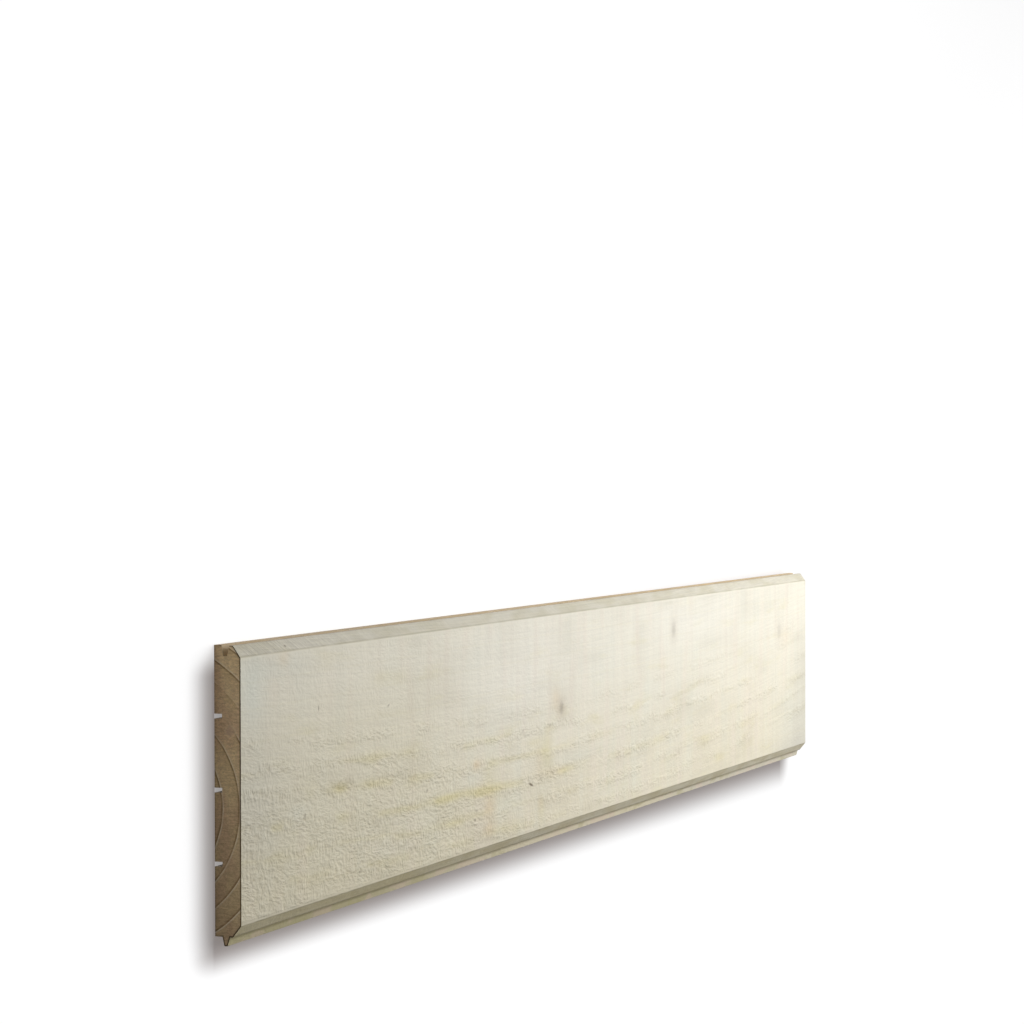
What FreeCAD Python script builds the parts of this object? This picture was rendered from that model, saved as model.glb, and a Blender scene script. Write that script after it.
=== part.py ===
"""Tongue and groove cladding board: one length of planed softwood with a rough-sawn face.

The section is run through four cutters: a flat back with relief kerfs, a grooved edge, a
tongued edge, and a face whose two long edges are chamfered so that joined boards make a V.
X runs along the board, +Y points to the grooved edge and +Z out of the face. The back lies
on Z = 0, and the origin is under the middle of the board, tongue included.
"""
import FreeCAD, Part
import os

import Sketcher

V = FreeCAD.Vector
ORIGIN = -1
START, END = 1, 2

document = FreeCAD.newDocument("tongue_and_groove_board")

# Driving dimensions in millimetres, with what each one measures.
SIZES = [
    ("board_length", 1250, "sawn square at both ends"),
    ("board_thickness", 19.5, "back to face"),
    ("cover_width", 190, "what one laid board covers, from shoulder to back lip"),
    ("tongue_length", 6, "how far the tongue stands out of its shoulders"),
    ("tongue_height", 5.5, "back of the board to the back of the tongue, at its root"),
    ("tongue_root", 5.6, "thickness of the tongue where it leaves the shoulders"),
    ("tongue_back_taper", 1.3, "rise of the tongue's back flank from root to tip"),
    ("tongue_tip", 2.5, "thickness of the tongue at its tip"),
    ("tongue_tip_round", 0.5, "radius that eases both edges of the tip"),
    ("flank_clearance", 0.1, "play on each side of the tongue at the mouth of the groove"),
    ("tip_clearance", 0.2, "play on each side of the tip, taken at the groove's floor"),
    ("groove_end_gap", 1.2, "space left between the tip and the groove's floor"),
    ("face_joint_gap", 0.4, "set-back of the front lip, so that the back lip closes first"),
    ("groove_chamfer_width", 7.7, "face chamfer on the grooved edge, across the board"),
    ("groove_chamfer_depth", 5.5, "the same chamfer, into the thickness"),
    ("tongue_chamfer_width", 7.8, "face chamfer on the tongued edge, across the board"),
    ("tongue_chamfer_depth", 6.2, "the same chamfer, into the thickness"),
    ("kerf_count", 3, "relief kerfs in the back, which keep a wide board flat"),
    ("kerf_pitch", 48.2, "between the middles of two kerfs"),
    ("kerf_width", 3.2, "one saw cut"),
    ("kerf_depth", 5.7, "how deep the saw goes into the back"),
    ("kerf_row_offset", 0.4, "the row's middle, from the middle of the cover to the groove"),
]

sheet = document.addObject("Spreadsheet::Sheet", "sizes")
for row, (alias, millimetres, meaning) in enumerate(SIZES, start=1):
    sheet.set("A%d" % row, alias)
    sheet.set("B%d" % row, str(millimetres))
    sheet.set("C%d" % row, meaning)
    sheet.setAlias("B%d" % row, alias)
document.recompute()


def origin_plane(body, role):
    """One of the three planes that a body is drawn on."""
    return next(plane for plane in body.Origin.OriginFeatures if plane.Role == role)


def section_sketch(body, name):
    """A sketch across the board: its own x runs from the tongue to the groove, its y up."""
    sketch = body.newObject("Sketcher::SketchObject", name)
    sketch.AttachmentSupport = [(origin_plane(body, "YZ_Plane"), "")]
    sketch.MapMode = "FlatFace"
    return sketch


def closed_outline(sketch, corners):
    """Draws a closed run of straight sides, side i from corner i to the next one."""
    count = len(corners)
    for i in range(count):
        start, end = V(*corners[i], 0), V(*corners[(i + 1) % count], 0)
        sketch.addGeometry(Part.LineSegment(start, end), False)
    for i in range(count):
        sketch.addConstraint(Sketcher.Constraint("Coincident", i, END, (i + 1) % count, START))


def bind(sketch, kind, name, first, second, expression):
    """A named dimension between two corners, counted positive, worked out from the sheet."""
    points = [(ORIGIN, START) if corner == "origin" else (corner, START) for corner in (first, second)]
    starts = [V(0, 0, 0) if corner == "origin" else sketch.getPoint(corner, START)
              for corner in (first, second)]
    now = starts[1] - starts[0]
    value = now.x if kind == "DistanceX" else now.y
    index = sketch.addConstraint(Sketcher.Constraint(kind, *points[0], *points[1], value))
    sketch.renameConstraint(index, name)
    sketch.setExpression("Constraints." + name, expression)


def draw_section(body):
    """The board's outline, without its kerfs, as the moulder's knives leave it."""
    sketch = section_sketch(body, "section")
    # Corner places here only start the drawing off: the bound dimensions below settle them.
    corners = {
        "back_shoulder": (6, 0),
        "back_lip": (196, 0),
        "mouth_back": (196, 5.4),
        "floor_back": (188.8, 6.6),
        "floor_front": (188.8, 9.5),
        "mouth_front": (195.6, 11.2),
        "front_lip": (195.6, 14),
        "face_groove_side": (187.9, 19.5),
        "face_tongue_side": (13.8, 19.5),
        "front_shoulder": (6, 13.3),
        "root_front": (6, 11.1),
        "tip_front": (0, 9.3),
        "tip_back": (0, 6.8),
        "root_back": (6, 5.5),
    }
    at = {name: i for i, name in enumerate(corners)}
    closed_outline(sketch, list(corners.values()))
    for level in ("back_shoulder", "face_groove_side"):
        sketch.addConstraint(Sketcher.Constraint("Horizontal", at[level]))
    for upright in ("back_lip", "floor_back", "mouth_front", "front_shoulder", "tip_front", "root_back"):
        sketch.addConstraint(Sketcher.Constraint("Vertical", at[upright]))
    sketch.addConstraint(
        Sketcher.Constraint("Vertical", at["root_back"], START, at["root_front"], START))
    sketch.addConstraint(Sketcher.Constraint("PointOnObject", at["back_shoulder"], START, ORIGIN))

    across = [
        ("tongue", "origin", "back_shoulder", "sizes.tongue_length"),
        ("tip", "tip_back", "back_shoulder", "sizes.tongue_length"),
        ("cover", "back_shoulder", "back_lip", "sizes.cover_width"),
        ("groove_depth", "floor_back", "back_lip", "sizes.tongue_length + sizes.groove_end_gap"),
        ("lip_set_back", "mouth_front", "back_lip", "sizes.face_joint_gap"),
        ("groove_chamfer", "face_groove_side", "front_lip", "sizes.groove_chamfer_width"),
        ("tongue_chamfer", "front_shoulder", "face_tongue_side", "sizes.tongue_chamfer_width"),
    ]
    up = [
        ("thickness", "back_shoulder", "face_tongue_side", "sizes.board_thickness"),
        ("root_height", "back_shoulder", "root_back", "sizes.tongue_height"),
        ("root", "root_back", "root_front", "sizes.tongue_root"),
        ("back_flank", "root_back", "tip_back", "sizes.tongue_back_taper"),
        ("tip_thickness", "tip_back", "tip_front", "sizes.tongue_tip"),
        ("mouth", "back_lip", "mouth_back", "sizes.tongue_height - sizes.flank_clearance"),
        ("mouth_opening", "mouth_back", "mouth_front", "sizes.tongue_root + 2 * sizes.flank_clearance"),
        ("floor_height", "back_lip", "floor_back",
         "sizes.tongue_height + sizes.tongue_back_taper - sizes.tip_clearance"),
        ("floor", "floor_back", "floor_front", "sizes.tongue_tip + 2 * sizes.tip_clearance"),
        ("groove_chamfer_fall", "front_lip", "face_groove_side", "sizes.groove_chamfer_depth"),
        ("tongue_chamfer_fall", "front_shoulder", "face_tongue_side", "sizes.tongue_chamfer_depth"),
    ]
    for kind, dimensions in (("DistanceX", across), ("DistanceY", up)):
        for name, first, second, expression in dimensions:
            bind(sketch, kind, name, at.get(first, first), at.get(second, second), expression)
    return sketch


def draw_first_kerf(body):
    """The saw cut nearest to the tongue, open at the back."""
    sketch = section_sketch(body, "first_kerf")
    left, right, top = 50, 53, 6
    closed_outline(sketch, [(left, 0), (right, 0), (right, top), (left, top)])
    for side in (0, 2):
        sketch.addConstraint(Sketcher.Constraint("Horizontal", side))
    for side in (1, 3):
        sketch.addConstraint(Sketcher.Constraint("Vertical", side))
    sketch.addConstraint(Sketcher.Constraint("PointOnObject", 0, START, ORIGIN))
    row_middle = "sizes.tongue_length + sizes.cover_width / 2 + sizes.kerf_row_offset"
    half_row = "(sizes.kerf_count - 1) * sizes.kerf_pitch / 2"
    bind(sketch, "DistanceX", "place", "origin", 0,
         row_middle + " - " + half_row + " - sizes.kerf_width / 2")
    bind(sketch, "DistanceX", "width", 0, 1, "sizes.kerf_width")
    bind(sketch, "DistanceY", "depth", 1, 2, "sizes.kerf_depth")
    return sketch


def make_board():
    """Planes the section, eases the tongue's tip and saws the row of kerfs."""
    body = document.addObject("PartDesign::Body", "board")
    body.Label = "board"

    moulded = body.newObject("PartDesign::Pad", "moulded_length")
    moulded.Profile = draw_section(body)
    moulded.SideType = "Symmetric"
    moulded.setExpression("Length", "sizes.board_length")
    document.recompute()

    tip_edges = []
    for number, edge in enumerate(moulded.Shape.Edges, start=1):
        across = [vertex.Point.y for vertex in edge.Vertexes]
        along = [vertex.Point.x for vertex in edge.Vertexes]
        if max(across) < 0.001 and max(along) - min(along) > 1:
            tip_edges.append("Edge%d" % number)
    eased = body.newObject("PartDesign::Fillet", "eased_tip")
    eased.Base = (moulded, tip_edges)
    eased.setExpression("Radius", "sizes.tongue_tip_round")

    kerf = body.newObject("PartDesign::Pocket", "kerf")
    kerf.Profile = draw_first_kerf(body)
    kerf.Type = "ThroughAll"
    kerf.SideType = "Symmetric"
    document.recompute()

    row = body.newObject("PartDesign::LinearPattern", "kerf_row")
    row.Originals = [kerf]
    row.Direction = (kerf.Profile[0], ["H_Axis"])
    row.setExpression("Length", "(sizes.kerf_count - 1) * sizes.kerf_pitch")
    row.setExpression("Occurrences", "sizes.kerf_count")
    body.Tip = row

    body.setExpression("Placement.Base.y", "-(sizes.tongue_length + sizes.cover_width) / 2")
    document.recompute()
    return body


def check_cuts(body):
    """The kerfs have to take exactly their own volume out of the moulded board."""
    size = lambda alias: float(sheet.get(alias))
    one_kerf = size("kerf_width") * size("kerf_depth") * size("board_length")
    cut = document.getObject("eased_tip").Shape.Volume - body.Shape.Volume
    if abs(cut - size("kerf_count") * one_kerf) > 1:
        raise RuntimeError("the kerfs removed %.1f cubic millimetres" % cut)


board = make_board()
check_cuts(board)
for item in document.Objects:
    if "Invalid" in item.State or "Error" in item.State:
        raise RuntimeError("%s failed: %s" % (item.Name, item.State))
if board.Shape.isNull() or not board.Shape.isValid() or len(board.Shape.Solids) != 1:
    raise RuntimeError("the board isn't one valid solid")

os.makedirs("parts", exist_ok=True)
board.Shape.exportStep("parts/%s.step" % board.Label)
box = board.Shape.BoundBox
print("board %.1f x %.1f x %.1f mm, %.1f cubic centimetres"
      % (box.XLength, box.YLength, box.ZLength, board.Shape.Volume / 1000))
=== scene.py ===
"""Tongue and groove board, dressed for its picture.

The board is one length of spruce. Its face, both chamfers and the front of the tongue carry a
thin white glaze, the back and the groove are bare planed wood, and the ends show the rings.
Rings and knots are worked out through the whole thickness, round the middle of the tree, so
that what shows on an end carries on along the face, the back and the edges.
Lengths are in metres: X along the board, +Y to the grooved edge, +Z out of the face.
"""
import math

import bpy
import numpy as np
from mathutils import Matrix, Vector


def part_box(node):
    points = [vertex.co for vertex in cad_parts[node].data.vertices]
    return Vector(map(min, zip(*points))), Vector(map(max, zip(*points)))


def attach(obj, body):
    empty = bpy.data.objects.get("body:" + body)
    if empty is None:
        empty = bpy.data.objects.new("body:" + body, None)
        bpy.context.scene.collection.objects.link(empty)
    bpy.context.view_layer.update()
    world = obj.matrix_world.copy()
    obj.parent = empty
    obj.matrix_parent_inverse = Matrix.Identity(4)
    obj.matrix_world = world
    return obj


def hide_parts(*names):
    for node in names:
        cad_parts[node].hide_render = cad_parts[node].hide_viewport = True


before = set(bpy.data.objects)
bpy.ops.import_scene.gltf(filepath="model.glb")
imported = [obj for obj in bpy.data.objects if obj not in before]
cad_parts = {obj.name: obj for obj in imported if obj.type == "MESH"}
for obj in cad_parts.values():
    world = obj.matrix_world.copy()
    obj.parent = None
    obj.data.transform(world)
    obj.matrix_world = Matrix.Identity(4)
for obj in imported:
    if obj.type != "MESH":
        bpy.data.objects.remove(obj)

MM = 0.001
ALONG, ACROSS, UP = (1, 0, 0), (0, 1, 0), (0, 0, 1)
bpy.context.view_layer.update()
board_low, board_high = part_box("board")

# The section's corners in millimetres, (across, up, how far the corner is eased), anticlockwise
# seen from the right end.
KERF_MIDDLES = (-44.8, 3.4, 51.6)
KERF_HALF, KERF_DEPTH = 1.6, 5.7
FACE_EDGES = (-84.2, 89.9)
THICKNESS = 19.5
BACK = [(-92, 0, 0.4)] + [
    (middle + side * KERF_HALF, height, 0)
    for middle in KERF_MIDDLES
    for side, height in ((-1, 0), (-1, KERF_DEPTH), (1, KERF_DEPTH), (1, 0))
]
GROOVE_EDGE = [
    (98, 0, 0.4), (98, 5.4, 0.4), (90.8, 6.6, 0), (90.8, 9.5, 0), (97.6, 11.2, 0.4), (97.6, 14, 0.5),
]
FACE = [(FACE_EDGES[1], THICKNESS, 0.7), (FACE_EDGES[0], THICKNESS, 0.7)]
TONGUE_EDGE = [(-92, 13.3, 0.4), (-92, 11.1, 0), (-98, 9.3, 0.5), (-98, 6.8, 0.5), (-92, 5.5, 0)]

# Where the middle of the tree lies, below the back of the board, and how its rings are spaced.
PITH = (0, -7.5 * MM, -55.5 * MM)
FIRST_RING = 61 * MM
RING_WIDTH = 12.6 * MM

# How finely the mesh is divided: places along the board, and strips across the face and across
# each chamfer.
STATIONS = 481
FACE_STRIPS, CHAMFER_STRIPS = 126, 5


def soft_noise(across, along, seed):
    """Uneven heights from -1 to 1: random ones at whole numbers, joined both ways by the
    S-curve 3t^2 - 2t^3."""
    size = 1024
    heights = np.random.default_rng(seed).uniform(-1, 1, (size, size))
    column, row = np.floor(across).astype(int), np.floor(along).astype(int)
    t, u = across - column, along - row
    t, u = t * t * (3 - 2 * t), u * u * (3 - 2 * u)
    left, right, near, far = column % size, (column + 1) % size, row % size, (row + 1) % size
    low = heights[left, near] * (1 - t) + heights[right, near] * t
    high = heights[left, far] * (1 - t) + heights[right, far] * t
    return low * (1 - u) + high * u


def rise(value, start, end):
    """0 up to start, 1 from end on, and the S-curve 3t^2 - 2t^3 between them."""
    t = np.clip((value - start) / (end - start), 0, 1)
    return t * t * (3 - 2 * t)


def grain_level(x, y):
    """Where a place lies across the grain, in millimetres. The grain runs in a shallow valley
    along the board: two half parabolas that meet 120 mm left of the middle, so a fibre climbs
    18 mm from there to the left end and 34 mm to the right one."""
    left, right = np.minimum(x + 120, 0) / 440, np.maximum(x + 120, 0) / 665
    return y - 14 * left**2 - 27 * right**2


# The bands where the saw tore the fibres: their level across the grain and how torn they are.
# Half the width of a band, and of the streak of honey-coloured wood in it, in millimetres.
TORN_BANDS = ((14, 0.65), (-3, 0.8), (-21, 0.85), (-42, 1.0), (-61, 0.75), (-78, 0.55))
BAND_HALF, STREAK_HALF = 5, 3.2


def torn_fibres(x, level):
    """How rough the saw left the face, from 0 to 1. Narrow bands follow the grain, each a bell
    curve across it, broken into patches by slow noise. The wood between them is rough too, most
    of all near the tongue and at the left end, and the whole fades towards the right."""
    wander = 1.5 * soft_noise(x / 90, level / 18, 11)
    bands = sum(
        strength * np.exp(-(((level - middle - wander) / BAND_HALF) ** 2))
        for middle, strength in TORN_BANDS
    )
    patches = rise(soft_noise(x / 34, level / 8, 12) + 0.45 * soft_noise(x / 13, level / 4, 13), -0.5, 0.35)
    rough = rise(-level, -30, 58) * (0.74 - 0.5 * rise(x, -430, -40))
    fade = 1 - 0.28 * rise(x, -380, -140) - 0.14 * rise(x, 60, 520)
    return np.clip((bands * (0.25 + 0.75 * patches) + rough * (0.6 + 0.4 * patches)) * fade, 0, 1)


def sawn_relief(x, level, torn):
    """Height of the sawn face in millimetres: a slow unevenness, and where the fibres are torn,
    low ridges that follow the grain and blunt lumps on them."""
    slow = 0.04 * soft_noise(x / 60, level / 16, 21)
    ridges = soft_noise(x / 10, level / 2.8, 22)
    lumps = soft_noise(x / 6, level / 4, 23)
    return slow + torn * (0.028 * ridges + 0.018 * lumps)


# Specks of bark and small tears: (along, across, half length, half width, lean, strength), in
# millimetres. The lean is how far one falls across the board for each step along it.
BARK_SPECKS = (
    (-138.6, -45.6, 4.6, 1.1, 0.28, 1.0), (-535.6, -23.3, 1.2, 1.6, 0, 0.6),
    (-339.3, -28.3, 1.4, 1.4, 0, 0.6), (-155, -0.4, 1.4, 1.2, 0, 0.4), (-251, -60.7, 1.8, 1.4, 0, 0.5),
    (-515, 48, 0.8, 2.2, 0, 0.6), (-405, 41, 2.0, 0.9, -0.3, 0.45), (-559, 93.5, 1.1, 0.8, 0, 0.7),
    (-452, -73, 1.8, 1.1, 0, 0.45), (-248, -54, 3, 0.9, 0.1, 0.35),
)

# Marks on the face: (along, across, half length, half width, strength), in millimetres.
HONEY_PLACES = (
    (-290, -37.5, 60, 3.2, 0.7), (-225, -41, 36, 3.2, 0.9), (-285, -57, 56, 3.2, 0.4),
    (-224, -30, 15, 15, 0.3), (-105, -22, 13, 17, 0.55), (-132, -12, 16, 4, 0.4), (-425, 7, 20, 4, 0.35),
    (-372, 4, 20, 4, 0.35), (-485, -10, 17, 3.5, 0.6), (-435, -12, 18, 3.5, 0.5), (-60, -41, 20, 3.2, 0.6),
    (338, -71, 15, 4, 0.5), (-205, -74, 34, 3, 0.4), (-116, -68, 7, 12, 0.4), (-415, 62, 16, 5, 0.3),
    (-387, 60, 14, 5, 0.25),
)
# The next places are painted shade: they darken the face at both ends and along the tongue side.
SHADE_PLACES = (
    (-612, -8, 46, 56, 0.8), (612, -80, 50, 34, 1.0), (630, -10, 46, 50, 0.8), (560, -88, 90, 14, 0.7),
    (-560, -90, 90, 12, 0.4), (600, -50, 70, 40, 0.25),
)
PALE_PLACES = (
    (250, 72, 130, 26, 0.7), (-150, 62, 140, 30, 0.4), (-190, 30, 120, 20, 0.3), (-405, -57, 60, 16, 0.3),
)
BLUSHES = (
    (-248, -18, 8, 3.5, 0.9), (-223, -54, 11, 9, 0.8), (-224, -71, 10, 5, 0.7), (-118, -62, 6, 5, 0.4),
    (-85, 20, 10, 10, 0.6), (-96, -40, 26, 4, 0.4), (-120, -30, 10, 12, 0.3), (555, 34, 18, 10, 0.3),
    (-566, 85, 7, 6, 0.5),
)
COOL_PLACES = (
    (-610, 66, 16, 24, 0.9), (-575, 80, 34, 8, 0.6), (-190, -55, 26, 9, 0.5), (-250, -28, 26, 5, 0.4),
    (-545, -20, 14, 6, 0.5), (590, -60, 80, 36, 0.5), (-40, -32, 50, 5, 0.35), (60, -70, 60, 8, 0.3),
)


def marks(x, y, places):
    """Marks of 0 to 1: the sum of one bell curve, exp(-u^2 - v^2), for each place."""
    return sum(
        strength * np.exp(-(((x - along) / length) ** 2) - ((y - across) / width) ** 2)
        for along, across, length, width, strength in places
    )


def stains(x, y, level, torn):
    """What the glaze shows at each place, as values of 0 to 1 for the materials: honey-coloured
    streaks along the torn bands, reddish and cool places, and places of painted shade near the
    ends and along the tongue side."""
    streaks = sum(
        strength * np.exp(-(((level - middle - 0.5) / STREAK_HALF) ** 2))
        for middle, strength in TORN_BANDS[1:]
    )
    broken = rise(soft_noise(x / 24, level / 7, 31), -0.05, 0.6) * (1 - 0.75 * rise(x, -260, 160))
    return {
        "honey": np.clip(marks(x, y, HONEY_PLACES) + 0.5 * streaks * broken, 0, 1),
        "blush": marks(x, y, BLUSHES),
        "cool": marks(x, y, COOL_PLACES),
        "painted_shade": marks(x, y, SHADE_PLACES),
        "pale": marks(x, y, PALE_PLACES),
        "torn": torn,
    }


def eased(corners, steps=4):
    """Each corner C between sides a and b becomes a parabola, C + (1-t)^2 e a + t^2 e b, with e
    its ease. Gives (corner, step, 2)."""
    corners = np.array(corners, float)
    at, ease = corners[:, None, :2], corners[:, None, 2:]
    before = np.roll(at, 1, axis=0) - at
    after = np.roll(at, -1, axis=0) - at
    before /= np.linalg.norm(before, axis=2, keepdims=True)
    after /= np.linalg.norm(after, axis=2, keepdims=True)
    t = np.linspace(0, 1, steps + 1)[None, :, None]
    return at + (1 - t) ** 2 * ease * before + t**2 * ease * after


def board_outline():
    """The closed outline (n, 2) in millimetres as a function of the way round it: straight
    between the eased corners, with extra points on the face and the chamfers."""
    corners = BACK + GROOVE_EDGE + FACE + TONGUE_EDGE
    curves = eased(corners)
    steps = curves.shape[1]
    points = np.vstack([curves.reshape(-1, 2), curves[0, :1]])
    way = np.concatenate([[0], np.cumsum(np.linalg.norm(np.diff(points, axis=0), axis=1))])
    face = len(BACK) + len(GROOVE_EDGE)
    extra = []
    strips_after = ((face - 1, CHAMFER_STRIPS), (face, FACE_STRIPS), (face + 1, CHAMFER_STRIPS))
    for corner, strips in strips_after:
        side_start, side_end = way[corner * steps + steps - 1], way[(corner + 1) * steps]
        extra.append(np.linspace(side_start, side_end, strips + 1))
    places = np.unique(np.round(np.concatenate([way, *extra]), 7))[:-1]
    return np.stack([np.interp(places, way, points[:, 0]), np.interp(places, way, points[:, 1])], axis=1)


def board_mesh():
    """The outline carried along X, with the sawn relief added to the face's height. The relief
    dies out between 2.2 and 0.6 mm from the arrises. The ends are closed flat."""
    outline = board_outline()
    y, z = outline[:, 0], outline[:, 1]
    x = np.linspace(board_low.x, board_high.x, STATIONS) / MM
    grid_x, grid_y = np.meshgrid(x, y, indexing="ij")
    inside = np.minimum(grid_y - FACE_EDGES[0], FACE_EDGES[1] - grid_y)
    on_face = rise(inside, 0.6, 2.2) * (z > THICKNESS - 0.01)
    level = grain_level(grid_x, grid_y)
    torn = torn_fibres(grid_x, level) * on_face
    lift = sawn_relief(grid_x, level, torn) * on_face
    places = np.stack([grid_x, grid_y, z[None, :] + lift], axis=2) * MM

    number = np.arange(grid_x.size).reshape(grid_x.shape)
    following = np.roll(number, -1, axis=1)
    sides = np.stack([number[:-1], following[:-1], following[1:], number[1:]], axis=2).reshape(-1, 4)
    ends = [number[0, ::-1].tolist(), number[-1].tolist()]

    mesh = bpy.data.meshes.new("dressed_board")
    mesh.from_pydata(places.reshape(-1, 3), [], sides.tolist() + ends)
    values_of = stains(grid_x, grid_y, level, torn)
    values_of.update(lift=lift, level=level * MM)
    for label, values in values_of.items():
        mesh.attributes.new(label, "FLOAT", "POINT").data.foreach_set("value", values.ravel())

    # Glaze lies on all that is higher than the groove's mouth, and on the front of the tongue.
    side_y, side_z = ((outline + np.roll(outline, -1, axis=0)) / 2).T
    glazed = (side_z > 11.3) | ((side_y < -92) & (side_z > 8))
    finish = np.concatenate([np.tile(np.where(glazed, 0, 1), STATIONS - 1), [2, 2]])
    mesh.polygons.foreach_set("material_index", finish.astype(np.int32))
    mesh.polygons.foreach_set("use_smooth", np.ones(len(finish), bool))
    mesh.set_sharp_from_angle(angle=math.radians(32))
    return mesh


def paint(red, green, blue):
    """A colour for a material, written as it looks on a screen, from 0 to 255."""
    share = np.array([red, green, blue]) / 255
    linear = np.where(share <= 0.04045, share / 12.92, ((share + 0.055) / 1.055) ** 2.4)
    return (*linear.tolist(), 1.0)


def add(tree, kind, inputs=None, **settings):
    """A node with its settings. Each input is a value, or another node's output to link."""
    node = tree.nodes.new(kind)
    for name, value in settings.items():
        setattr(node, name, value)
    for key, value in (inputs or {}).items():
        if isinstance(value, bpy.types.NodeSocket):
            tree.links.new(value, node.inputs[key])
        else:
            node.inputs[key].default_value = value
    return node


def scalar(tree, operation, *values):
    """A Math node's result."""
    return add(tree, "ShaderNodeMath", dict(enumerate(values)), operation=operation).outputs[0]


def vector(tree, operation, *values):
    """A Vector Math node's result, a number for a length or a dot product."""
    node = add(tree, "ShaderNodeVectorMath", dict(enumerate(values)), operation=operation)
    return node.outputs["Value" if operation in ("LENGTH", "DOT_PRODUCT") else "Vector"]


def joined(tree, operation, values):
    """Several numbers taken together, from the first to the last, such as their greatest."""
    result = values[0]
    for value in values[1:]:
        result = scalar(tree, operation, result, value)
    return result


def product(tree, *factors):
    """Numbers multiplied with one another."""
    return joined(tree, "MULTIPLY", factors)


def far(tree, place, direction):
    """How far a place lies in a direction, times the direction's length."""
    return vector(tree, "DOT_PRODUCT", place, direction)


def off_line(tree, place, middle):
    """How far a place is from the line along X through another place."""
    away = vector(tree, "MULTIPLY", vector(tree, "SUBTRACT", place, middle), (0, 1, 1))
    return vector(tree, "LENGTH", away)


def point(tree, x=0.0, y=0.0, z=0.0):
    """A place from its three numbers."""
    return add(tree, "ShaderNodeCombineXYZ", {"X": x, "Y": y, "Z": z}).outputs[0]


def between(tree, value, start, end, low=0.0, high=1.0):
    """low up to start, high from end on, and an S-curve between them."""
    inputs = {"Value": value, "From Min": start, "From Max": end, "To Min": low, "To Max": high}
    node = add(tree, "ShaderNodeMapRange", inputs, interpolation_type="SMOOTHSTEP")
    return node.outputs["Result"]


def noise(tree, place, scale, detail=2.0, roughness=0.5):
    """Even noise from about 0 to 1; scale is cells a metre along X, Y and Z."""
    stretched = vector(tree, "MULTIPLY", place, scale)
    inputs = {"Vector": stretched, "Scale": 1.0, "Detail": detail, "Roughness": roughness}
    return add(tree, "ShaderNodeTexNoise", inputs).outputs[0]


def blend(tree, share, first, second, way="MIX"):
    """A mix of two colours."""
    node = add(tree, "ShaderNodeMix", data_type="RGBA", blend_type=way)
    for socket, value in ((node.inputs[0], share), (node.inputs[6], first), (node.inputs[7], second)):
        if isinstance(value, bpy.types.NodeSocket):
            tree.links.new(value, socket)
        else:
            socket.default_value = value
    return node.outputs[2]


def tinted(tree, colour, tint):
    """A colour multiplied by another, or darkened and lightened by a number."""
    return blend(tree, 1.0, colour, tint, way="MULTIPLY")


def over(tree, colour, share, strength, top):
    """A colour with another laid over it, as thick as share times strength says."""
    return blend(tree, product(tree, share, strength), colour, top)


def new_group(name, takes, gives):
    """An empty group: takes {input: default}, gives output names. Returns it, its inputs by
    name, and its output node. Place is a vector, the rest are numbers."""
    tree = bpy.data.node_groups.new(name, "ShaderNodeTree")
    tree.interface.new_socket(name="Place", in_out="INPUT", socket_type="NodeSocketVector")
    for label, value in takes.items():
        socket = tree.interface.new_socket(name=label, in_out="INPUT", socket_type="NodeSocketFloat")
        socket.default_value = value
    for label in gives:
        tree.interface.new_socket(name=label, in_out="OUTPUT", socket_type="NodeSocketFloat")
    return tree, tree.nodes.new("NodeGroupInput").outputs, tree.nodes.new("NodeGroupOutput")


def give(tree, leave, **results):
    """Links results to a group's outputs."""
    for label, value in results.items():
        tree.links.new(value, leave.inputs[label])


def use(tree, group, place, **values):
    """A group placed in a tree, with its own values. Returns its outputs by name."""
    node = tree.nodes.new("ShaderNodeGroup")
    node.node_tree = group
    tree.links.new(place, node.inputs["Place"])
    for label, value in values.items():
        if isinstance(value, bpy.types.NodeSocket):
            tree.links.new(value, node.inputs[label])
        else:
            node.inputs[label].default_value = value
    return node.outputs


def growth_rings():
    """Rings round the pith. Radius is the distance from the pith's line plus a slow wander.
    In each ring the wood darkens outwards (Tone), ends in a thin line (Line), and starts again
    pale (Pale). Hair is the faint unevenness of the year's growth within a ring."""
    tree, take, leave = new_group("growth rings", {"Wander": 0.004}, ("Line", "Pale", "Tone", "Hair"))
    place = take["Place"]
    slow = noise(tree, place, (1.1, 7, 7), detail=1.0)
    small = noise(tree, place, (9, 45, 45), detail=2.0)
    wander = product(tree, scalar(tree, "SUBTRACT", slow, 0.5), take["Wander"])
    ripple = product(tree, scalar(tree, "SUBTRACT", small, 0.5), 1.6 * MM)
    radius = scalar(tree, "ADD", off_line(tree, place, PITH), scalar(tree, "ADD", wander, ripple))
    turns = scalar(tree, "DIVIDE", scalar(tree, "SUBTRACT", radius, FIRST_RING), RING_WIDTH)
    part = scalar(tree, "FRACT", turns)
    line = product(tree, between(tree, part, 0.86, 0.96), between(tree, part, 0.975, 1.0, 1.0, 0.0))
    hair = add(
        tree, "ShaderNodeTexNoise", {"W": product(tree, radius, 620), "Detail": 2.0},
        noise_dimensions="1D").outputs[0]
    give(tree, leave, Line=line, Pale=between(tree, part, 0.015, 0.1, 1.0, 0.0),
         Tone=between(tree, part, 0.1, 0.95), Hair=hair)
    return tree


def fibres():
    """Fine lines along the grain: noise drawn out along X, in two sizes."""
    tree, take, leave = new_group("fibres", {}, ("Fine", "Broad"))
    give(tree, leave, Fine=noise(tree, take["Place"], (14, 900, 900), detail=3.0, roughness=0.6),
         Broad=noise(tree, take["Place"], (5, 210, 210), detail=2.0))
    return tree


# Knots: place along the board, place across it on the face, width there in millimetres, and
# how dark the heart shows.
KNOTS = ((-72.2, 11.5, 12, 1.0), (206, 61, 13, 0.6), (532, 41, 17, 0.35))


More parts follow.
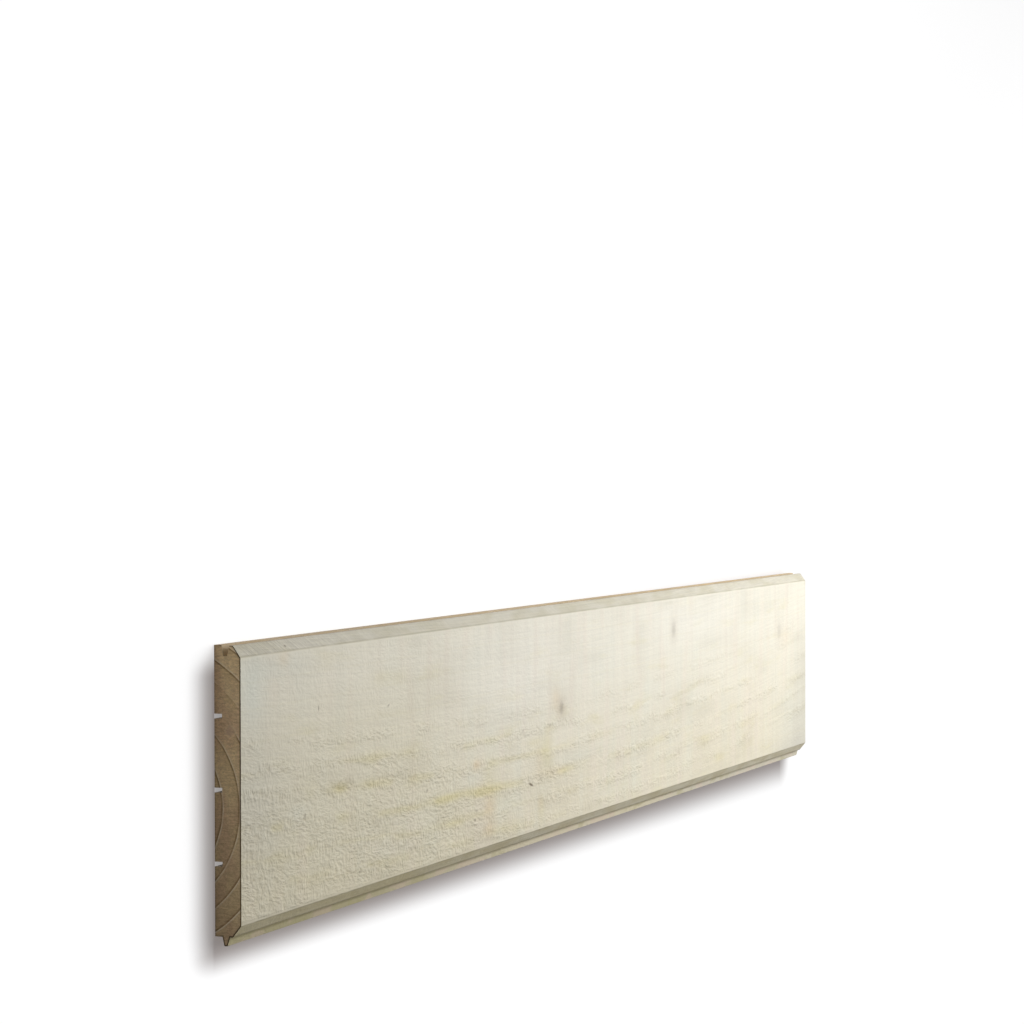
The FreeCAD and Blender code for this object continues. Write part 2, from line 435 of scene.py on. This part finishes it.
def knots():
    """Each knot is a cone whose point is on the pith and whose middle line passes through its
    place on the face. Core is its dark heart, and Halo the stained wood round it. A height of at
    least 1 mm over the pith is counted everywhere, so that no second cone opens below it."""
    tree, take, leave = new_group("knots", {}, ("Core", "Halo"))
    ragged = noise(tree, take["Place"], (260, 260, 260), detail=2.0)
    cores, halos = [], []
    for along, across, width, strength in KNOTS:
        foot = np.array([along * MM, PITH[1], PITH[2]])
        heart = np.array([along * MM, across * MM, THICKNESS * MM]) - foot
        reach = float(np.linalg.norm(heart))
        heart = heart / reach
        away = vector(tree, "SUBTRACT", take["Place"], tuple(foot))
        height = scalar(tree, "MAXIMUM", far(tree, away, tuple(heart)), MM)
        radius = vector(tree, "LENGTH", vector(tree, "CROSS_PRODUCT", away, tuple(heart)))
        cone = scalar(tree, "DIVIDE", radius, product(tree, height, width * MM / 2 / reach))
        cone = scalar(tree, "ADD", cone, product(tree, ragged, 0.5))
        cores.append(between(tree, cone, 0.35, 1.5, strength, 0.0))
        halos.append(between(tree, cone, 0.8, 3.2, strength, 0.0))
    give(tree, leave, Core=joined(tree, "MAXIMUM", cores), Halo=joined(tree, "MAXIMUM", halos))
    return tree


def bark_specks():
    """Each speck is an oval, darkest in its middle: how far out a place lies is the length of
    (along / half length, across / half width)."""
    tree, take, leave = new_group("bark specks", {}, ("Speck",))
    ovals = []
    for along, across, length, width, lean, strength in BARK_SPECKS:
        away = vector(tree, "SUBTRACT", take["Place"], (along * MM, across * MM, 0))
        out = point(tree, far(tree, away, (1 / length / MM, 0, 0)),
                    far(tree, away, (lean / width / MM, 1 / width / MM, 0)))
        ovals.append(between(tree, vector(tree, "LENGTH", out), 0.3, 1.5, strength, 0.0))
    give(tree, leave, Speck=joined(tree, "MAXIMUM", ovals))
    return tree


RINGS, FIBRES, KNOT_CONES, SPECKS = growth_rings(), fibres(), knots(), bark_specks()

GLAZE = paint(236, 231, 214)
# The glaze towards the tongue: yellower, and darker as painted shade for the light falling off across the
# face.
GLAZE_LOW_SHADED = paint(226, 218, 194)
COOL = paint(226, 228, 214)
PALE_PINK = paint(232, 221, 204)
HONEY = paint(216, 205, 150)
BLUSH = paint(224, 195, 150)


def start_material(name):
    """A material with its Principled shader. Returns the material, its tree, the shader and the
    place on the piece."""
    material = bpy.data.materials.new(name)
    material.use_nodes = True
    tree = material.node_tree
    shader = tree.nodes["Principled BSDF"]
    return material, tree, shader, add(tree, "ShaderNodeTexCoord").outputs["Object"]


def attribute(tree, label):
    """A value that was worked out with the mesh."""
    return add(tree, "ShaderNodeAttribute", attribute_name=label).outputs["Fac"]


def saw_marks():
    """Marks of the saw on a face laid out flat. Ridges are low lumps drawn out along the grain.
    Strokes are short bars that stand across it, bent this way and that, and blunt dashes that
    lie along it between their patches. Nicks are small tears, which the sawn glaze darkens as
    painted shade, Stripes are the change from one stroke of the saw to the next, straight across
    the board, and Tint is their change of hue."""
    gives = ("Ridges", "Strokes", "Nicks", "Stripes", "Tint")
    tree, take, leave = new_group("saw marks", {}, gives)
    place = take["Place"]

    def aslant(slope, scale, detail):
        laid = point(tree, far(tree, place, ALONG), far(tree, place, (slope, 1, 0)))
        return noise(tree, laid, scale, detail=detail)

    stripes = noise(tree, place, (130, 7, 0), detail=3.0)
    dashes = between(tree, aslant(0.02, (210, 480, 0), 2.0), 0.25, 0.75)
    sway = scalar(tree, "SUBTRACT", noise(tree, place, (80, 120, 0), detail=1.0), 0.5)
    bent = vector(tree, "ADD", place, point(tree, product(tree, sway, 6 * MM)))
    bars = between(tree, noise(tree, bent, (340, 185, 0), detail=2.0), 0.25, 0.75)
    patches = between(tree, noise(tree, place, (38, 75, 0), detail=2.0), 0.42, 0.56)
    strokes = add(tree, "ShaderNodeMix", {0: patches, 2: dashes, 3: bars}).outputs[0]
    give(tree, leave, Ridges=between(tree, aslant(0.03, (120, 300, 0), 1.0), 0.25, 0.75),
         Strokes=strokes, Nicks=between(tree, aslant(0.1, (150, 420, 0), 1.0), 0.64, 0.74),
         Stripes=stripes, Tint=noise(tree, place, (48, 9, 0), detail=1.0))
    return tree


SAW_MARKS = saw_marks()


def sawn_glaze(tree, place, flow, saw, rings, fine, grit):
    """The colour of the sawn face: cool and warm places, the marks worked out with the mesh, among
    them painted shade near the ends and along the tongue side, a glaze that is yellower and, as
    painted shade, darker towards the tongue, rings and knots faint beneath them, and painted
    shade in the hollows where the fibres are torn."""
    across, along = far(tree, place, ACROSS), far(tree, place, ALONG)
    torn, lift = attribute(tree, "torn"), attribute(tree, "lift")
    # Towards the tongue the glaze turns yellower and, as painted shade, darker.
    colour = blend(tree, between(tree, across, -0.09, 0.06), GLAZE_LOW_SHADED, GLAZE)
    clouds = noise(tree, place, (12, 22, 22), detail=3.0)
    colour = over(tree, colour, between(tree, clouds, 0.5, 0.75), 0.22, COOL)
    warmth = noise(tree, flow, (13, 60, 0), detail=3.0)
    colour = over(tree, colour, between(tree, warmth, 0.52, 0.8), 0.3, HONEY)
    colour = over(tree, colour, between(tree, saw["Tint"], 0.5, 0.7), 0.35, PALE_PINK)
    colour = over(tree, colour, between(tree, saw["Tint"], 0.3, 0.5, 1.0, 0.0), 0.15, COOL)
    left = between(tree, along, -0.42, -0.12, 1.0, 0.0)
    left = product(tree, left, between(tree, across, 0.03, 0.08, 1.0, 0.4))
    colour = over(tree, colour, left, 0.36, paint(219, 210, 176))
    for label, strength, top in (
            # The entry with paint(204, 200, 185) is painted shade near the ends and along the tongue side.
            ("pale", 0.6, paint(246, 243, 232)), ("cool", 0.7, COOL), ("painted_shade", 0.6, paint(204, 200, 185)),
            ("honey", 0.68, HONEY), ("blush", 0.45, BLUSH)):
        colour = over(tree, colour, attribute(tree, label), strength, top)
    colour = over(tree, colour, rings["Line"], 0.05, HONEY)
    knot = use(tree, KNOT_CONES, place)
    colour = over(tree, colour, knot["Halo"], 0.3, paint(196, 180, 158))
    colour = over(tree, colour, knot["Core"], 0.42, paint(116, 102, 90))

    # Painted shade in the torn relief: the low parts of the ridges and strokes and the small tears are
    # darkened, with a warmer tint.
    dip_shade = scalar(tree, "SUBTRACT", 1.0, saw["Ridges"])
    dip_shade = scalar(tree, "ADD", product(tree, dip_shade, 0.05), product(tree, saw["Nicks"], 0.06))
    dip_shade = scalar(tree, "ADD", dip_shade, between(tree, saw["Strokes"], 0.2, 0.8, 0.035, -0.02))
    deeper = tinted(tree, colour, paint(222, 215, 196))
    colour = over(tree, colour, product(tree, dip_shade, torn), 3.6, deeper)

    stripes = between(tree, saw["Stripes"], 0.25, 0.75, 0.974, 1.021)
    fine = between(tree, fine, 0.25, 0.75, 0.958, 1.026)
    fine = product(tree, fine, between(tree, grit, 0.3, 0.7, 0.972, 1.022))
    # Painted shade: the low places of the mesh's relief are a little darker.
    hollow_shade = between(tree, lift, -0.12, 0.04, 0.98, 1.005)
    lightness = between(tree, along, 0.0, 0.5, 1.03, 1.01)
    blots = between(tree, noise(tree, flow, (70, 110, 0), detail=3.0), 0.3, 0.7, -0.018, 0.018)
    blots = scalar(tree, "MULTIPLY_ADD", blots, torn, 1.0)
    return tinted(tree, colour, product(tree, stripes, fine, hollow_shade, lightness, blots))


def planed_glaze(tree, place, fine, worn, hatch_depth):
    """The colour of the planed chamfers: worn glaze, with the marks that the planer left."""
    across, along = far(tree, place, ACROSS), far(tree, place, ALONG)
    wear = between(tree, worn, 0.35, 0.7)
    tongue_side = blend(tree, wear, paint(206, 199, 174), paint(192, 181, 146))
    warm_end = between(tree, along, -0.45, -0.1, 0.5, 0.0)
    tongue_side = blend(tree, warm_end, tongue_side, paint(192, 179, 129))
    groove_side = blend(tree, wear, paint(214, 209, 192), paint(203, 197, 174))
    wood = blend(tree, between(tree, across, -0.01, 0.01), tongue_side, groove_side)
    wood = tinted(tree, wood, between(tree, fine, 0.25, 0.75, 0.91, 1.06))
    return tinted(tree, wood, scalar(tree, "MULTIPLY_ADD", hatch_depth, 3.0, 1.0))


def planer_marks(tree, place):
    """Depth of the fine marks across both chamfers. Near the left end they are deeper, and they
    lean."""
    leaning = point(tree, far(tree, place, (1, 1.1, 0)), far(tree, place, ACROSS))
    hatch = scalar(tree, "SUBTRACT", noise(tree, leaning, (600, 60, 0), detail=2.0), 0.5)
    depth = product(tree, between(tree, far(tree, place, ALONG), -0.6, -0.4, 0.28, 0.06), hatch)
    return product(tree, depth, between(tree, far(tree, place, ACROSS), -0.01, 0.01, 0.3, 1.0))


def tongue_and_arrises(tree, place, colour, worn):
    """Lays the blotched front of the tongue, painted shade where the chamfer meets the tongue,
    and the worn arrises of the face over the colour. The heights are those of the section's corners."""
    height, across, along = (far(tree, place, way) for way in (UP, ACROSS, ALONG))
    on_tongue = between(tree, height, 10.8 * MM, 11.1 * MM, 1.0, 0.0)
    front = blend(tree, between(tree, along, -0.54, -0.08), paint(190, 181, 140), paint(226, 216, 187))
    front = blend(tree, between(tree, along, 0.12, 0.32), front, paint(213, 206, 186))
    colour = over(tree, colour, on_tongue, 0.9, front)
    blotches = noise(tree, place, (34, 60, 60), detail=4.0)
    pink = product(tree, on_tongue, between(tree, blotches, 0.5, 0.62))
    colour = over(tree, colour, pink, 0.35, paint(228, 204, 186))
    green = product(tree, on_tongue, between(tree, blotches, 0.36, 0.48, 1.0, 0.0))
    colour = over(tree, colour, green, 0.4, paint(186, 178, 128))

    # Painted shade in the crease where the chamfer meets the tongue.
    shoulder_shade = product(tree, between(tree, height, 13.6 * MM, 14.5 * MM, 1.0, 0.0),
                       between(tree, height, 10.2 * MM, 10.9 * MM))
    shoulder_shade = product(tree, shoulder_shade, between(tree, across, -89 * MM, -88 * MM, 1.0, 0.0))
    colour = over(tree, colour, shoulder_shade, 0.45, paint(118, 106, 70))

    arris = product(tree, between(tree, height, 18.6 * MM, 19.1 * MM),
                    between(tree, height, 19.38 * MM, THICKNESS * MM, 1.0, 0.0))
    arris = product(tree, arris, between(tree, worn, 0.3, 0.55, 0.5, 1.0))
    arris = product(tree, arris, between(tree, across, -0.01, 0.01, 0.5, 0.4))
    return over(tree, colour, arris, 1.0, paint(152, 142, 110))


def glazed_face():
    """White glaze on sawn spruce: cool and warm places, rings and fibres faint beneath it,
    honey-coloured wood where torn fibres have shed it, and grey-brown knots. The planed
    chamfers and the tongue hold less of it and show more of the wood, and it has worn off
    their edges."""
    material, tree, shader, place = start_material("glazed_sawn_spruce")
    height = far(tree, place, UP)
    flow = point(tree, far(tree, place, ALONG), attribute(tree, "level"), height)
    rings = use(tree, RINGS, place, Wander=0.008)
    fine = use(tree, FIBRES, flow)["Fine"]
    saw = use(tree, SAW_MARKS, flow)
    grit = noise(tree, place, (520, 620, 620), detail=3.0, roughness=0.6)
    worn = noise(tree, place, (26, 90, 90), detail=3.0)
    hatch_depth = planer_marks(tree, place)

    planed = between(tree, height, 19.0 * MM, 19.4 * MM, 1.0, 0.0)
    colour = sawn_glaze(tree, place, flow, saw, rings, fine, grit)
    colour = over(tree, colour, planed, 0.9, planed_glaze(tree, place, fine, worn, hatch_depth))
    colour = tongue_and_arrises(tree, place, colour, worn)
    colour = over(tree, colour, use(tree, SPECKS, place)["Speck"], 0.8, paint(92, 72, 44))
    tree.links.new(colour, shader.inputs["Base Color"])

    smoothest = between(tree, far(tree, place, ALONG), -0.4, 0.1, 0.34, 0.18)
    rough = between(tree, attribute(tree, "torn"), 0.05, 0.8, smoothest, 1.0)
    ridge = scalar(tree, "MULTIPLY_ADD", saw["Ridges"], 1.1, product(tree, saw["Strokes"], 1.5))
    ridge = scalar(tree, "ADD", ridge, product(tree, grit, 0.4))
    ridge = product(tree, ridge, rough)
    ridge = scalar(tree, "ADD", ridge, product(tree, fine, 0.08))
    ridge = scalar(tree, "ADD", ridge, product(tree, hatch_depth, planed, 4.0))
    bump = add(tree, "ShaderNodeBump", {"Height": ridge, "Distance": 0.3 * MM, "Strength": 1.0})
    tree.links.new(bump.outputs[0], shader.inputs["Normal"])
    tree.links.new(between(tree, grit, 0.3, 0.7, 0.62, 0.8), shader.inputs["Roughness"])
    shader.inputs["Specular IOR Level"].default_value = 0.3
    return material


def bare_wood():
    """Planed spruce without glaze, on the back, in the groove and in the kerfs."""
    material, tree, shader, place = start_material("bare_planed_spruce")
    rings = use(tree, RINGS, place, Wander=0.008)
    lines = use(tree, FIBRES, place)
    knot = use(tree, KNOT_CONES, place)
    tone = between(tree, rings["Tone"], 0.0, 1.0)
    colour = blend(tree, tone, paint(214, 196, 160), paint(200, 177, 136))
    colour = over(tree, colour, rings["Line"], 0.7, paint(160, 128, 86))
    shade = between(tree, lines["Fine"], 0.25, 0.75, 0.9, 1.06)
    shade = product(tree, shade, between(tree, lines["Broad"], 0.3, 0.7, 0.94, 1.04))
    colour = tinted(tree, colour, shade)
    colour = over(tree, colour, knot["Halo"], 0.5, paint(160, 116, 72))
    colour = over(tree, colour, knot["Core"], 0.85, paint(96, 64, 40))
    tree.links.new(colour, shader.inputs["Base Color"])
    bump = add(tree, "ShaderNodeBump", {"Height": lines["Fine"], "Distance": 0.2 * MM})
    tree.links.new(bump.outputs[0], shader.inputs["Normal"])
    tree.links.new(between(tree, lines["Fine"], 0.3, 0.7, 0.5, 0.66), shader.inputs["Roughness"])
    shader.inputs["Specular IOR Level"].default_value = 0.4
    return material


# The end's outline in millimetres, anticlockwise: the board without its tongue, and the tongue,
# whose own outline closes inside the board.
BODY_SIDES = ((-92, 0), (98, 0), (98, 14), (89.9, 19.5), (-84.2, 19.5), (-92, 13.3))
TONGUE_SIDES = ((-85, 13.2), (-98, 9.3), (-98, 6.8), (-85, 4.0))


def end_rim():
    """Rim is 1 at the end's outline and up to 0.5 mm inside it, and 0 from 1.3 mm. The distance
    inwards from a side is a dot product with the side's own inward direction, and the outline's
    is the least of them; the tongue and the board are joined by the greater of the two."""
    tree, take, leave = new_group("end rim", {}, ("Rim",))

    def least_distance(corners):
        distances = []
        for (y, z), (next_y, next_z) in zip(corners, corners[1:] + corners[:1]):
            inward = np.array([-(next_z - z), next_y - y]) / math.hypot(next_y - y, next_z - z)
            offset = float(inward @ (y, z)) * MM
            away = far(tree, take["Place"], (0, *inward.tolist()))
            distances.append(scalar(tree, "SUBTRACT", away, offset))
        return joined(tree, "MINIMUM", distances)

    inside = scalar(tree, "MAXIMUM", least_distance(BODY_SIDES), least_distance(TONGUE_SIDES))
    give(tree, leave, Rim=between(tree, inside, 0.5 * MM, 1.3 * MM, 1.0, 0.0))
    return tree


END_RIM = end_rim()

# Two places on the ends: where the rings fade out, and the middle of a small pale eye.
FADED_PLACE = (0, 56 * MM, 9 * MM)
EYE_PLACE = (0, 42 * MM, 11.7 * MM)


def end_grain():
    """Sawn end: brown, with dark rings, each with a pale line outside it, short streaks left by
    the saw, and a darker rim along its outline, strongest towards the face."""
    material, tree, shader, place = start_material("sawn_end_grain")
    rings = use(tree, RINGS, place, Wander=0.005)
    colour = blend(tree, rings["Tone"], paint(224, 199, 153), paint(212, 186, 140))
    patches = noise(tree, place, (30, 26, 60), detail=3.0)
    colour = blend(tree, between(tree, patches, 0.42, 0.62, 0.0, 0.8), colour, paint(206, 175, 138))
    hair = between(tree, rings["Hair"], 0.3, 0.7, 0.94, 1.05)
    mottle = noise(tree, place, (500, 900, 620), detail=3.0, roughness=0.65)
    speckled = between(tree, mottle, 0.34, 0.66, 0.87, 1.12)
    streaks = between(tree, noise(tree, place, (0, 800, 130), detail=2.0), 0.3, 0.7, 0.89, 1.08)
    # Painted light: the end is lighter towards the grooved edge and darker towards the tongue.
    painted_light_up = between(tree, far(tree, place, ACROSS), -0.1, 0.09, 0.87, 1.24)
    colour = tinted(tree, colour, product(tree, hair, speckled, streaks, painted_light_up))

    broken = between(tree, noise(tree, place, (0, 120, 120), detail=2.0), 0.35, 0.6, 0.5, 1.0)
    faded = between(tree, off_line(tree, place, FADED_PLACE), 15 * MM, 23 * MM, 0.12, 1.0)
    broken = product(tree, broken, faded)
    colour = over(tree, colour, rings["Line"], product(tree, broken, 0.72), paint(126, 98, 60))
    colour = over(tree, colour, rings["Pale"], product(tree, broken, 0.6), paint(255, 242, 212))

    eye = off_line(tree, place, EYE_PLACE)
    colour = blend(tree, between(tree, eye, 2.2 * MM, 3.4 * MM, 0.45, 0.0), colour, paint(206, 176, 150))
    ring_of_eye = product(tree, between(tree, eye, 2.8 * MM, 3.6 * MM),
                          between(tree, eye, 3.8 * MM, 4.6 * MM, 1.0, 0.0))
    colour = over(tree, colour, ring_of_eye, 0.3, paint(248, 226, 188))

    rim = use(tree, END_RIM, place)["Rim"]
    rim = product(tree, rim, between(tree, far(tree, place, UP), 2 * MM, 8 * MM, 0.25, 0.92))
    colour = blend(tree, rim, colour, paint(76, 64, 42))
    tree.links.new(colour, shader.inputs["Base Color"])
    bump = add(tree, "ShaderNodeBump", {"Height": mottle, "Distance": 0.3 * MM})
    tree.links.new(bump.outputs[0], shader.inputs["Normal"])
    shader.inputs["Roughness"].default_value = 0.85
    shader.inputs["Specular IOR Level"].default_value = 0.25
    return material


def dress_board():
    """The board with its finishes, standing for the plain solid."""
    mesh = board_mesh()
    for material in (glazed_face(), bare_wood(), end_grain()):
        mesh.materials.append(material)
    board = bpy.data.objects.new("dressed_board", mesh)
    bpy.context.scene.collection.objects.link(board)
    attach(board, "root")
    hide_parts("board")


# The close shadow on the floor is darkest over a rectangle under the board, given by its middle
# and its half sizes in metres. Its reach beyond the end, and beside the tongue at the middle of
# the board, with how much that grows for each metre to the right.
SHADOW_MIDDLE, SHADOW_HALF = (-0.015, -0.013), (0.61, 0.089)
REACH_PAST_END = 38.5 * MM
REACH_BESIDE, REACH_GROWTH = 26.4 * MM, 0.0102


def close_shadow(tree, place, camera):
    """The floor's colour in the close shadow, on the two sides away from the lamps. The shadow
    is deepest at the board, and along an S-curve it dies out 38 mm beyond the end and 24 to
    37 mm beyond the tongue."""
    along, across = far(tree, place, ALONG), far(tree, place, ACROSS)

    def beyond(value, middle, half, reach):
        off_middle = scalar(tree, "ABSOLUTE", scalar(tree, "SUBTRACT", value, middle))
        outside = scalar(tree, "MAXIMUM", scalar(tree, "SUBTRACT", off_middle, half), 0.0)
        return scalar(tree, "DIVIDE", outside, reach)

    past = beyond(along, SHADOW_MIDDLE[0], SHADOW_HALF[0], REACH_PAST_END)
    reach = scalar(tree, "MULTIPLY_ADD", along, REACH_GROWTH, REACH_BESIDE)
    beside = beyond(across, SHADOW_MIDDLE[1], SHADOW_HALF[1], reach)
    off = vector(tree, "LENGTH", point(tree, past, beside))
    beneath = product(tree, scalar(tree, "GREATER_THAN", along, board_low.x),
                      scalar(tree, "GREATER_THAN", across, -92 * MM))
    dark = product(tree, between(tree, off, 0.0, 1.0, 1.0, 0.0), camera)
    dark = product(tree, dark, between(tree, beneath, 0.0, 1.0, 1.0, 0.66))
    dark = product(tree, dark, between(tree, past, 0.0, 0.12, 1.0, 0.87))
    return blend(tree, dark, (1, 1, 1, 1), paint(163, 157, 155))


def lay_floor():
    """A white floor that the board lies on. It glows a little towards the camera, so that it is
    white where no shadow falls, and it darkens close to the board on the sides away from the
    lights."""
    half, depth = 20.0, -0.1 * MM
    mesh = bpy.data.meshes.new("floor")
    corners = [(-half, -half, depth), (half, -half, depth), (half, half, depth), (-half, half, depth)]
    mesh.from_pydata(corners, [], [(0, 1, 2, 3)])
    material = bpy.data.materials.new("white_floor")
    material.use_nodes = True
    tree = material.node_tree
    tree.nodes.clear()
    rays = add(tree, "ShaderNodeLightPath").outputs
    camera = rays["Is Camera Ray"]
    seen = joined(tree, "MAXIMUM", [camera, rays["Is Glossy Ray"], rays["Is Transmission Ray"]])

    # To the camera the floor is evenly white: its own colour grows with the square of the
    # distance from the place below the lamps, as their light falls off.
    place = add(tree, "ShaderNodeTexCoord").outputs["Object"]
    away = vector(tree, "SUBTRACT", place, (1.01, 0.49, 0))
    own = scalar(tree, "MULTIPLY_ADD", vector(tree, "DOT_PRODUCT", away, away), 0.134, 0.329)
    evened = blend(tree, scalar(tree, "MINIMUM", own, 1.0), (0, 0, 0, 1), (1, 1, 1, 1))
    colour = blend(tree, camera, paint(225, 223, 224), evened)
    strength = product(tree, seen, between(tree, vector(tree, "LENGTH", away), 1.9, 3.2, 0.58, 0.95))

    shaded = close_shadow(tree, place, camera)
    base = add(tree, "ShaderNodeBsdfDiffuse", {"Color": tinted(tree, colour, shaded)})
    glow = add(tree, "ShaderNodeEmission", {"Color": shaded, "Strength": strength})
    both = add(tree, "ShaderNodeAddShader", {0: base.outputs[0], 1: glow.outputs[0]})
    add(tree, "ShaderNodeOutputMaterial", {"Surface": both.outputs[0]})
    mesh.materials.append(material)
    floor = bpy.data.objects.new("floor", mesh)
    bpy.context.scene.collection.objects.link(floor)


def area_light(name, place, aim, size, watts):
    """A square soft light that points from its place at another."""
    light = bpy.data.lights.new(name, "AREA")
    light.size = size
    light.energy = watts
    lamp = bpy.data.objects.new(name, light)
    lamp.location = place
    away = np.array(place, float) - np.array(aim, float)
    flat = math.hypot(away[0], away[1])
    lamp.rotation_euler = (math.atan2(flat, away[2]), 0, math.atan2(away[1], away[0]) + math.pi / 2)
    bpy.context.scene.collection.objects.link(lamp)


def light_studio():
    """A light beyond the right end, a larger one over the grooved edge, and an even pale room."""
    area_light("end_light", (2.15, 0.25, 1.24), (0.1, 0, 0), 1.2, 17)
    area_light("side_light", (0.66, 0.55, 1.30), (0.1, 0, 0), 1.6, 22)
    world = bpy.data.worlds.new("pale_room")
    world.use_nodes = True
    background = world.node_tree.nodes["Background"]
    background.inputs["Color"].default_value = paint(250, 249, 252)
    background.inputs["Strength"].default_value = 0.21
    bpy.context.scene.world = world


def place_camera():
    """A long lens that looks down along the board from beyond its left end."""
    lens = bpy.data.cameras.new("camera")
    lens.sensor_width = 36
    lens.lens = 94.754
    camera = bpy.data.objects.new("camera", lens)
    camera.location = (-2.15822, 0.21400, 0.86496)
    camera.rotation_euler = [math.radians(angle) for angle in (-0.7306, -66.8926, -0.2777)]
    bpy.context.scene.collection.objects.link(camera)
    bpy.context.scene.camera = camera


place_camera()
lay_floor()
light_studio()
dress_board()
bpy.context.scene.view_settings.view_transform = "Standard"
